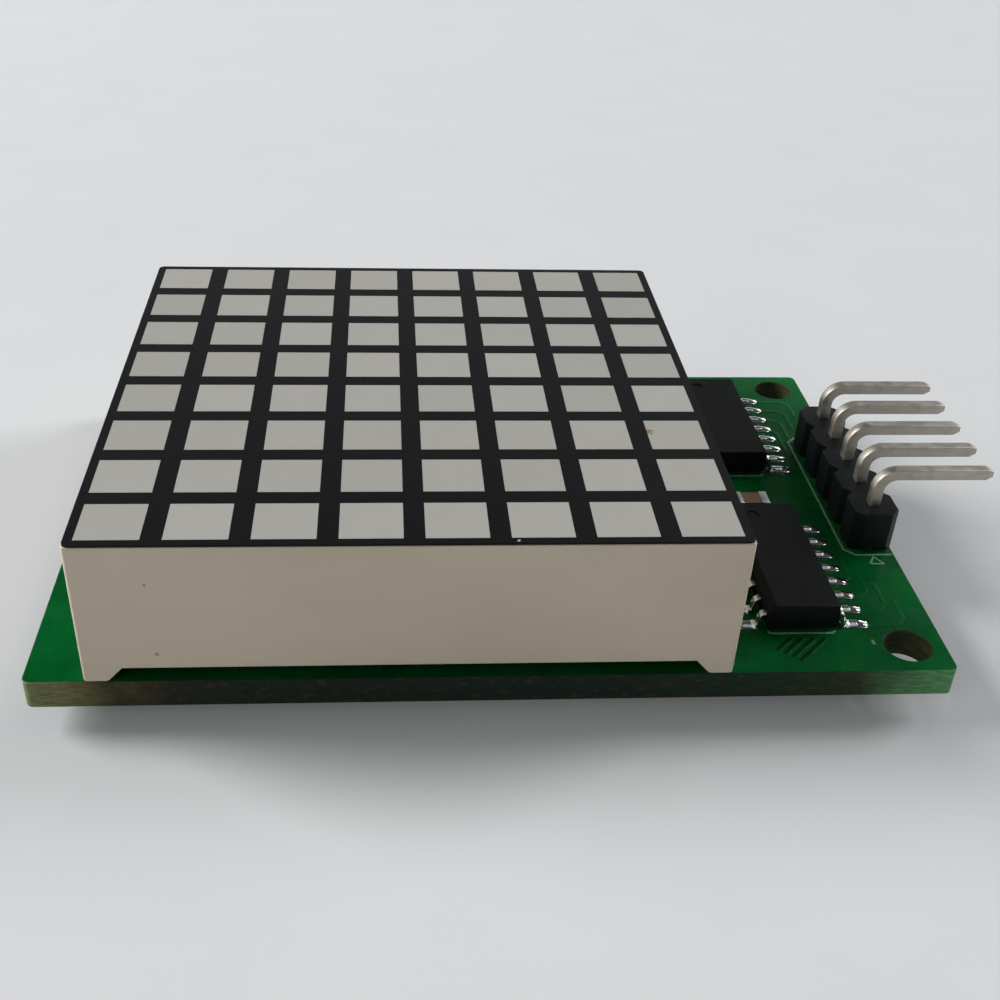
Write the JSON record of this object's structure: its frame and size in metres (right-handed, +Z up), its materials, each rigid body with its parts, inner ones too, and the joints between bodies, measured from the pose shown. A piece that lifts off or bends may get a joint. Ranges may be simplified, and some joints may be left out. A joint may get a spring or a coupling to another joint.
{
  "type": "led dot matrix module",
  "caption": "Square-dot LED matrix display on a circuit board with driver chips and a bent pin header, for showing simple characters and patterns.",
  "frame": {"origin": "under the middle of the module's box, at the level of the pin tips that it stands on", "axes": "+X from the display towards the header pins, along the longest side; +Y from the front edge to the back edge of the board; +Z up through the display's face"},
  "size_m": [0.0518, 0.032, 0.011],
  "materials": {
    "board": "glossy green solder mask on glass-fibre laminate, bare brown-green laminate on the cut edges",
    "pad_copper": "tinned copper",
    "housing": "moulded warm white plastic, satin",
    "face_ink": "black printed layer, satin",
    "dot_resin": "milky grey casting resin with a fine diffusing surface",
    "substrate": "bare glass-fibre laminate",
    "led_die": "bare crystal with a metal top",
    "bond_wire": "drawn gold wire",
    "display_pin": "dull tin plate",
    "header_pin": "dull tin plate over brass",
    "solder": "bright solder",
    "header_plastic": "black moulded nylon, satin",
    "chip_epoxy": "charcoal moulding compound, matt",
    "chip_lead": "bright tin plate",
    "capacitor_ceramic": "brown sintered ceramic",
    "end_cap": "tinned metal end cap",
    "resistor_glaze": "black glaze on white ceramic"
  },
  "bodies": {
    "root": {"circuit_board": "board", "top_pads": "pad_copper", "top_rings": "pad_copper", "bottom_pads": "pad_copper", "display_housing": "housing", "display_face": "face_ink", "display_resin": "dot_resin", "led_substrate": "substrate", "led_dies": "led_die", "bond_wires": "bond_wire", "display_pin_1": "display_pin", "display_pin_2": "display_pin", "display_pin_3": "display_pin", "display_pin_4": "display_pin", "display_pin_5": "display_pin", "display_pin_6": "display_pin", "display_pin_7": "display_pin", "display_pin_8": "display_pin", "display_pin_9": "display_pin", "display_pin_10": "display_pin", "display_pin_11": "display_pin", "display_pin_12": "display_pin", "display_pin_13": "display_pin", "display_pin_14": "display_pin", "display_pin_15": "display_pin", "display_pin_16": "display_pin", "display_solder": "solder", "header_body": "header_plastic", "header_pin_1": "header_pin", "header_pin_2": "header_pin", "header_pin_3": "header_pin", "header_pin_4": "header_pin", "header_pin_5": "header_pin", "header_solder": "solder", "front_chip_body": "chip_epoxy", "front_chip_leads": "chip_lead", "rear_chip_body": "chip_epoxy", "rear_chip_leads": "chip_lead", "chip_solder": "solder", "capacitor_body": "capacitor_ceramic", "capacitor_ends": "end_cap", "resistor_1": "resistor_glaze", "resistor_2": "resistor_glaze", "resistor_3": "resistor_glaze", "resistor_4": "resistor_glaze", "resistor_5": "resistor_glaze", "resistor_6": "resistor_glaze", "resistor_7": "resistor_glaze", "resistor_8": "resistor_glaze", "resistor_ends": "end_cap", "small_part_solder": "solder"}
  },
  "joints": []
}
